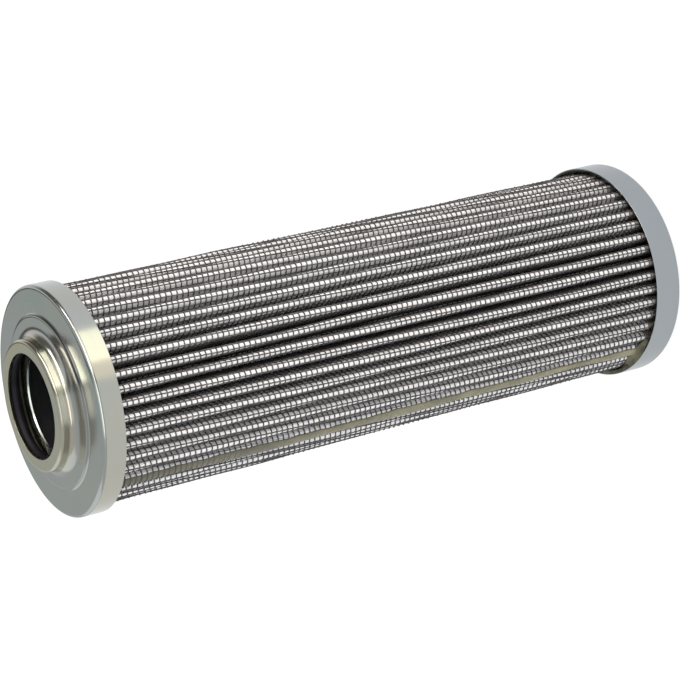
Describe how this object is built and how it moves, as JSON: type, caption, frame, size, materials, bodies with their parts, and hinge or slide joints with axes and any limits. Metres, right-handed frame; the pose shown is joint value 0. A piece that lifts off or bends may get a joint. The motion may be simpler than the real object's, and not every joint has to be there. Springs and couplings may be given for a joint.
{
  "type": "hydraulic filter element",
  "caption": "Pleated hydraulic filter element with black wire mesh, two pressed zinc-plated end caps, a closed base and a sealing neck for the housing's spigot.",
  "frame": {"origin": "centre of the closed cap's outer face, which the element stands on", "axes": "+Z along the element's axis from the closed cap to the open neck; the side seam lies at 147 degrees clockwise from +X seen from +Z"},
  "size_m": [0.068, 0.068, 0.2085],
  "materials": {
    "zinc_plated_steel": "zinc plated, bright passivated, satin",
    "black_rubber": "smooth black nitrile rubber",
    "coated_wire_mesh": "black epoxy coated woven steel wire",
    "white_fleece": "off-white non-woven fleece",
    "glass_fibre_web": "white glass-fibre filter medium",
    "drainage_mesh": "fine woven stainless wire",
    "core_plastic": "black glass-filled plastic",
    "olive_adhesive": "cured olive epoxy adhesive"
  },
  "bodies": {
    "root": {"closed_end_cap": "zinc_plated_steel", "open_end_cap": "zinc_plated_steel", "neck_o_ring": "black_rubber", "o_ring_retainer": "zinc_plated_steel", "support_core": "core_plastic", "outer_mesh": "coated_wire_mesh", "outer_fleece": "white_fleece", "filter_media": "glass_fibre_web", "inner_fleece": "white_fleece", "inner_mesh": "drainage_mesh", "side_seam": "olive_adhesive", "closed_end_potting": "olive_adhesive", "open_end_potting": "olive_adhesive"}
  },
  "joints": []
}
